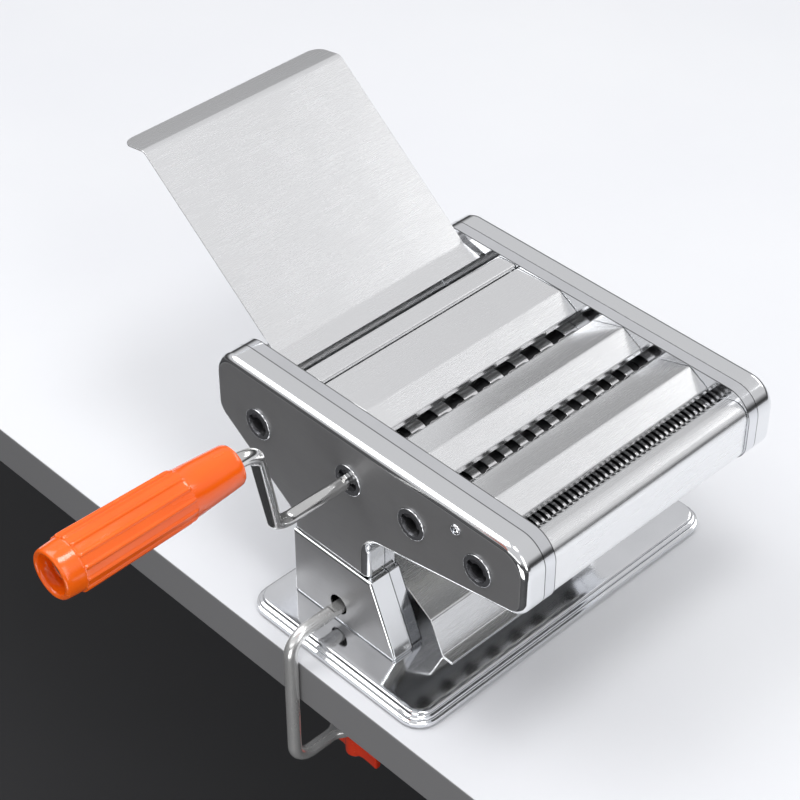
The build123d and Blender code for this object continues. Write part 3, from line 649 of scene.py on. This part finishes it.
# ------------------------------------------------------------------ crank
knee_y, elbow_y = -148.0, -185.5
crank_bend = 17.0
rod_path = rounded_path(
    [
        (crank_axis.x, rod_high.y, crank_axis.z),
        (crank_axis.x, knee_y, crank_axis.z),
        (grip_axis.x, elbow_y, grip_axis.z),
        (grip_axis.x, rod_low.y, grip_axis.z),
    ],
    [crank_bend, crank_bend],
    0.7,
)
rod_length = path_length(rod_path)


def rod_section(travelled):
    """Round rod with its ends slightly chamfered."""
    end = min(travelled, rod_length - travelled)
    return circle_section(rod_radius - max(0.0, 0.7 - end) * 0.9, 40)


bm = bmesh.new()
skin(bm, swept(rod_path, rod_section, (1, 0, 0)))
crank = place("crank_bar", bm, nickel, "crank_rod", 50)
lean = atan2(grip_axis.x - crank_axis.x, grip_axis.z - crank_axis.z)


def lug(side):
    """One of the two pressed ears at the end of the rod, rounded over at its outer edge."""
    outline = [
        (2.6, 0.0), (5.2, 0.0), (6.0, 0.8), (6.2, 2.0), (6.2, 11.2), (5.9, 12.3),
        (4.9, 13.2), (3.0, 13.9), (2.6, 13.9),
    ]
    bm = bmesh.new()
    out = Vector((sin(lean), 0, cos(lean))) * side
    across = Vector((cos(lean), 0, -sin(lean)))
    start = Vector((crank_axis.x, rod_high.y - 1.0, crank_axis.z))
    rings = []
    for half, shrink in ((-1.4, 0.35), (-1.15, 0.0), (1.15, 0.0), (1.4, 0.35)):
        ring = []
        for distance, along in outline:
            radius = distance - shrink if distance > 3.0 else distance
            ring.append(start + out * radius - Vector((0, along, 0)) + across * half)
        rings.append(ring)
    skin(bm, rings)
    return bm


for side in (-1, 1):
    cut(crank, lug(side), "lug", "UNION")
# The collar that keeps the grip from sliding along the rod.
collar_profile = [(3.0, 0.0), (4.9, 0.0), (5.35, 0.3), (5.35, 1.1), (4.9, 1.4), (3.0, 1.4)]
collar = bmesh.new()
turned(collar, collar_profile, (grip_axis.x, grip_high.y + 0.4, grip_axis.z), (0, 1, 0), 40)
cut(crank, collar, "collar", "UNION")
resharpen(crank, 40)

# Grip: profile from the outer cap to the neck, as (radius, distance, depth of the flutes).
grip_profile = [
    (10.0, 8.0, 0), (10.0, 1.6, 0), (10.3, 0.7, 0), (11.0, 0.1, 0), (11.8, 0.15, 0),
    (12.5, 0.8, 0), (12.8, 1.8, 0), (13.05, 4.5, 0), (13.3, 9.2, 0), (13.35, 9.9, 0),
    (13.4, 10.4, 0), (14.1, 10.65, 0.4), (14.45, 11.2, 0.9), (14.55, 12.2, 1.0),
    (14.5, 18.0, 1.0), (14.25, 35.0, 1.0), (14.0, 52.0, 1.0), (13.7, 68.0, 0.95),
    (13.6, 72.2, 0.8), (13.35, 73.4, 0.5), (12.95, 74.0, 0.0), (12.7, 74.6, 0.0),
    (12.2, 82.0, 0), (11.5, 93.0, 0), (10.95, 101.5, 0), (10.7, 103.6, 0), (10.1, 104.6, 0),
    (9.2, 105.0, 0), (4.6, 105.0, 0), (4.15, 104.6, 0), (4.15, 60.0, 0), (4.15, 8.6, 0),
    (4.5, 8.05, 0),
]
ribs = 14
grip_steps = 16 * ribs


def grip_radius(radius, depth):
    """Radius at each angle: narrow ribs with shallow flutes of a given depth between them."""
    def at(angle):
        phase = (angle * ribs / tau) % 1.0
        away = abs(phase - 0.5) * 2
        ridge = eased((away - 0.62) / 0.2)
        return radius - depth * (1 - ridge) * (0.85 + 0.25 * (1 - away * away))

    return at


bm = bmesh.new()
rings = [
    ring_about_y(grip_axis, grip_low.y + distance, grip_steps, grip_radius(radius, depth))
    for radius, distance, depth in grip_profile
]
skin(bm, rings, wrap=True)
place("grip", bm, orange, "crank_grip", 60)

# Domed rivet over its washer, inside the grip's outer end.
washer_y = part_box("grip_washer")[0][1] / MM
rivet_profile = [
    (0.4, 0.0), (2.2, 0.15), (3.8, 0.6), (4.8, 1.2), (5.15, 1.8), (6.6, 1.85), (7.0, 2.1),
    (7.0, 3.1), (6.7, 3.4), (0.4, 3.4),
]
bm = bmesh.new()
turned(bm, rivet_profile, (grip_axis.x, washer_y, grip_axis.z), (0, 1, 0), 48)
place("grip_rivet", bm, nickel, "grip_washer", 40)

# ------------------------------------------------------------------ table clamp
arm_z = bracket_high.z - rod_radius
upright_y = bracket_low.y + rod_radius
eye_z = -79.0
eye_reach = 8.7
clamp_bend = 13.0
flat_length = 28.0
screw_hole_radius = 4.1
screw_y = clamp_axis.y
clamp_path = rounded_path(
    [
        (clamp_axis.x, bracket_high.y, arm_z),
        (clamp_axis.x, upright_y, arm_z),
        (clamp_axis.x, upright_y, eye_z),
        (clamp_axis.x, screw_y + eye_reach, eye_z),
    ],
    [clamp_bend, clamp_bend],
    0.6,
)
clamp_length = path_length(clamp_path)
clamp_path = divided(clamp_path, 0.7)


def clamp_section(travelled):
    """Round rod that is pressed flat over its last stretch, with rounded ends."""
    left = clamp_length - travelled
    flat = eased((flat_length - left) / 9.0)
    half_width = rod_radius + 3.5 * flat
    half_height = rod_radius - 1.45 * flat
    if left < 5.0:
        half_width *= 1 - (1 - left / 5.0) ** 2 * 0.45
    if travelled < 0.8:
        half_width -= 0.8 - travelled
        half_height -= 0.8 - travelled
    if left < 0.5:
        half_height -= 0.5 - left
    return squared_section(half_width, half_height, 1.0 - 0.62 * flat, 48)


bm = bmesh.new()
skin(bm, swept(clamp_path, clamp_section, (1, 0, 0)))
bracket = place("clamp_hook", bm, satin_rod, "clamp_bracket", 50)
tool = bmesh.new()
hole = [(screw_hole_radius, -8), (screw_hole_radius, 8)]
turned(tool, hole, (clamp_axis.x, screw_y, eye_z), (0, 0, 1), 40)
cut(bracket, tool, "screw_hole")
# The notch on the hook arm, with a bowed floor, as (Y, height above its floor line).
notch = [
    (-104.0, 8.0), (-104.0, 1.9), (-103.2, 0.7), (-101.5, 0.0), (-94.0, -0.25), (-87.0, 0.0),
    (-85.2, 0.6), (-84.2, 1.9), (-84.0, 8.0),
]
notch_floor = 1.8
tool = bmesh.new()
skin(tool, [
    [(clamp_axis.x + side, y, arm_z + notch_floor + z) for y, z in notch] for side in (-7, 7)
])
cut(bracket, tool, "notch")
weld(bracket, 0.02)
resharpen(bracket, 38)
break_edges(bracket, 0.3, 38)
apply_modifiers(bracket)
weld(bracket, 0.004)
flatten_shading(bracket)

# Screw with a real thread, which fades out at both ends, and a plain stem up into the pad.
pitch = 1.25
thread_low = screw_low.z + 0.2
thread_high = pad_low.z - 0.6
rows_per_turn = 8
steps = 36
crest_radius = 3.97
thread_depth = 0.66
fade_length = 1.6
rows = int((thread_high - thread_low) / pitch * rows_per_turn)
bm = bmesh.new()
rings = []
for row in range(rows + 1):
    z = thread_low + (thread_high - thread_low) * row / rows
    fade = min(1.0, (z - thread_low) / fade_length, (thread_high - z) / fade_length)
    ring = []
    for k in range(steps):
        turn = (z / pitch - k / steps) % 1.0
        wave = min(1.0, max(0.0, 2.5 * abs(turn - 0.5) - 0.12))
        radius = crest_radius - thread_depth * (wave * fade + (1 - fade) * 0.9)
        angle = tau * k / steps
        ring.append((clamp_axis.x + radius * cos(angle), screw_y + radius * sin(angle), z))
    rings.append(ring)
skin(bm, rings)
stem = [
    (2.4, thread_high - 0.3), (2.4, screw_high.z - 0.35), (2.1, screw_high.z - 0.05),
    (0.3, screw_high.z - 0.02),
]
turned(bm, stem, (clamp_axis.x, screw_y, 0), (0, 0, 1), steps)
place("thread", bm, satin_rod, "clamp_screw", 55)

# Swivel pad: a dished disc on a swaged neck, as (radius, height from its top).
pad_profile = [
    (2.65, -0.55), (3.4, -0.35), (5.0, -0.3), (9.0, -0.22), (13.0, -0.06), (14.8, 0.0),
    (15.35, -0.2), (15.5, -0.75), (15.4, -1.35), (15.0, -1.65), (13.2, -1.8), (9.8, -2.35),
    (8.0, -2.9), (7.1, -3.7), (6.8, -4.1), (6.3, -4.2), (2.75, -4.2), (2.65, -4.0),
]
bm = bmesh.new()
pad_profile = [(radius, pad_high.z + z) for radius, z in pad_profile]
turned(bm, pad_profile, (clamp_axis.x, screw_y, 0), (0, 0, 1), 72, wrap=True)
place("swivel_pad", bm, satin_rod, "clamp_pad", 40)

# Wing knob: two flat wings blended into a hub, as one moulding.
hub_bottom, hub_top = (corner.z for corner in corners_mm("clamp_knob"))
hub_profile = [
    (0.3, hub_bottom + 0.4), (4.6, hub_bottom + 0.4), (5.6, hub_bottom + 0.8),
    (6.0, hub_bottom + 1.6), (6.15, hub_top - 6.0), (6.5, hub_top - 3.6), (7.2, hub_top - 2.6),
    (7.3, hub_top - 0.9), (6.9, hub_top - 0.3), (0.3, hub_top - 0.3),
]
bm = bmesh.new()
turned(bm, hub_profile, (clamp_axis.x, screw_y, 0), (0, 0, 1), 48)
wing_middle = hub_top - 10.7
# Each wing from the hub outwards, as (reach, half height, half thickness).
wing_sections = [
    (0.5, 8.2, 3.6), (5.0, 8.2, 3.3), (8.5, 8.2, 2.45), (13.0, 8.6, 2.3), (18.4, 9.1, 2.45),
    (19.4, 8.9, 2.2), (19.7, 8.3, 1.6),
]
for side in (-1, 1):
    rings = [
        [
            (clamp_axis.x + side * reach, screw_y + across, wing_middle + up)
            for across, up in squared_section(half_thickness, half_height, 0.35, 32)
        ]
        for reach, half_height, half_thickness in wing_sections
    ]
    skin(bm, rings)
wing = place("wing_knob", bm, red, "clamp_knob", 60)
remesh = wing.modifiers.new("moulding", "REMESH")
remesh.mode = "VOXEL"
remesh.voxel_size = 0.42 * MM
blend = wing.modifiers.new("blend", "SMOOTH")
blend.factor = 0.5
blend.iterations = 5
apply_modifiers(wing)
resharpen(wing, 60)

# ------------------------------------------------------------------ regulator knob and dial
knob_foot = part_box("dial_plate")[1][1] / MM + 0.4
knob_profile = [
    (3.1, knob_foot), (11.9, knob_foot), (12.2, knob_foot + 0.3), (12.2, knob_foot + 2.0),
    (11.5, knob_foot + 2.6), (11.3, knob_foot + 3.4), (11.0, knob_face - 1.6),
    (10.6, knob_face - 0.5), (9.8, knob_face), (8.4, knob_face), (7.9, knob_face - 0.5),
    (7.6, knob_face - 1.0), (3.4, knob_face - 1.0), (3.1, knob_face - 1.3),
]
scallops = 18
scallop_depth = 0.55


def knob_radius(radius):
    """Radius at each angle: the knob's side is scalloped, its flange and face are round."""
    depth = scallop_depth if 8.2 < radius < 11.6 else 0.0
    return lambda angle: radius - depth * (0.5 + 0.5 * cos(angle * scallops))


bm = bmesh.new()
rings = [
    ring_about_y(regulator_axis, y, 8 * scallops, knob_radius(radius)) for radius, y in knob_profile
]
skin(bm, rings, wrap=True)
place("regulator_dial_knob", bm, black, "regulator_knob", 40)
carried("dial_plate", steel, 0.2)
# A pointed mark set into the knob's face, as (aside, along its length).
mark = [(-0.45, 0.0), (0.0, 0.55), (0.45, 0.0), (0.45, -3.2), (-0.45, -3.2)]
mark_tip = 6.4
mark_angle = radians(135)
out_x, out_z = cos(mark_angle), sin(mark_angle)
bm = bmesh.new()
rings = [
    [
        (
            regulator_axis.x + (mark_tip + along) * out_x - aside * out_z,
            y,
            regulator_axis.z + (mark_tip + along) * out_z + aside * out_x,
        )
        for aside, along in mark
    ]
    for y in (knob_face - 1.1, knob_face - 0.85)
]
skin(bm, rings)
place("knob_index", bm, white, "regulator_knob", hides=False)


# ------------------------------------------------------------------ stage
def stage_material(name, colour, second, roughness, scale, depth):
    """Paint with a faint cloudiness and a fine grit."""
    material, tree, shader = new_material(name, colour, roughness)
    cloud = noise(tree, scale, 6.0)
    tree.links.new(clouded(tree, cloud, 0.3, 0.7, colour, second), shader.inputs["Base Color"])
    grit = noise(tree, scale * 60, 3.0)
    bumped(tree, shader, grit, depth)
    return material


def stage_block(name, low, high, material, round_edge=0.0):
    """A slab of the surroundings, between two corners in metres."""
    bm = bmesh.new()
    block(bm, low, high)
    if round_edge:
        bmesh.ops.bevel(
            bm, geom=bm.edges[:], offset=round_edge, segments=4, profile=0.5, affect="EDGES"
        )
    for face in bm.faces:
        face.smooth = False
    mesh = bpy.data.meshes.new(name)
    bm.to_mesh(mesh)
    bm.free()
    mesh.materials.append(material)
    piece = bpy.data.objects.new(name, mesh)
    bpy.context.collection.objects.link(piece)


table_paint = stage_material(
    "table_paint", (0.80, 0.81, 0.83), (0.76, 0.77, 0.80), 0.42, 3.0, 0.00002
)
# The table's top keeps its pale paint, and its sides are greyed with painted shade.
table_tree = table_paint.node_tree
table_colour = table_tree.nodes["Principled BSDF"].inputs["Base Color"]
top_colour = table_colour.links[0].from_socket
painted_edge_shade = (0.22, 0.22, 0.225)
# Painted shade: the surfaces that do not face up get the darker grey.
table_tree.links.new(
    mixed(table_tree, facing(table_tree, "Z", 0.6, 0.9), painted_edge_shade, top_colour), table_colour
)
# The clamp holds the table between its pad and the base, with the upright just off the edge.
table_gap = 4.4
table_edge = (upright_y + table_gap) * MM
table_under = pad_high.z * MM
stage_block("table", (-1.6, table_edge, table_under), (1.6, 2.2, 0.0), table_paint, 0.0012)
floor_paint = stage_material(
    "floor_paint", (0.055, 0.055, 0.058), (0.045, 0.045, 0.048), 0.8, 1.5, 0.00003
)
stage_block("floor", (-9, -9, -0.80), (9, 9, -0.75), floor_paint)


# ------------------------------------------------------------------ light
def area_light(name, at, towards, size, power):
    """A soft rectangular light, placed and aimed in metres."""
    data = bpy.data.lights.new(name, "AREA")
    data.shape = "RECTANGLE"
    data.size, data.size_y = size
    data.energy = power
    lamp = bpy.data.objects.new(name, data)
    lamp.location = at
    lamp.rotation_mode = "QUATERNION"
    lamp.rotation_quaternion = (Vector(towards) - Vector(at)).to_track_quat("-Z", "Y")
    bpy.context.collection.objects.link(lamp)


area_light("key", (-0.9, -0.5, 1.5), (0, 0, 0.08), (1.1, 1.1), 11)
area_light("front", (1.5, -0.4, 0.9), (0, 0, 0.08), (0.5, 1.6), 7)
area_light("side", (0.3, -1.7, 0.55), (0, -0.1, 0.05), (1.6, 0.35), 2.5)
area_light("rear", (0.2, 1.6, 1.2), (0, 0, 0.05), (1.4, 0.5), 6)
area_light("down", (0.25, -0.1, 1.3), (0.03, 0, 0.12), (0.35, 0.35), 4)
area_light("low", (0.5, -1.1, -0.3), (0, -0.12, -0.05), (0.7, 0.6), 3.5)

world = bpy.data.worlds.new("studio")
world.use_nodes = True
bpy.context.scene.world = world
tree = world.node_tree
direction = tree.nodes.new("ShaderNodeTexCoord")
split = tree.nodes.new("ShaderNodeSeparateXYZ")
tree.links.new(direction.outputs["Generated"], split.inputs["Vector"])
ramp = tree.nodes.new("ShaderNodeValToRGB")
tree.links.new(ranged(tree, split.outputs["Z"], -1.0, 1.0, 0.0, 1.0), ramp.inputs["Fac"])
# Brightness from straight down to straight up, with a dark band just above the horizon for
# the metal to reflect.
stops = [
    (0.0, 0.30), (0.47, 0.30), (0.51, 0.06), (0.56, 0.10), (0.62, 0.45), (0.68, 1.0), (1.0, 1.05),
]
levels = ramp.color_ramp.elements
levels[0].position = stops[0][0]
levels[1].position = stops[-1][0]
for position, brightness in stops[1:-1]:
    levels.new(position)
for level, (position, brightness) in zip(levels, stops):
    level.position = position
    level.color = (brightness, brightness, brightness * 1.02, 1)
tree.links.new(ramp.outputs["Color"], tree.nodes["Background"].inputs["Color"])
tree.nodes["Background"].inputs["Strength"].default_value = 0.66

# ------------------------------------------------------------------ camera
camera_data = bpy.data.cameras.new("camera")
camera_data.sensor_width = 36
camera_data.lens = 98
camera = bpy.data.objects.new("camera", camera_data)
camera.location = (0.618, -0.668, 0.882)
aim = Vector((-0.0564, -0.011, 0.0963))
camera.rotation_mode = "QUATERNION"
camera.rotation_quaternion = (aim - camera.location).to_track_quat("-Z", "Y")
camera_data.clip_start, camera_data.clip_end = 0.05, 30
bpy.context.collection.objects.link(camera)
bpy.context.scene.camera = camera
bpy.context.scene.view_settings.view_transform = "Standard"
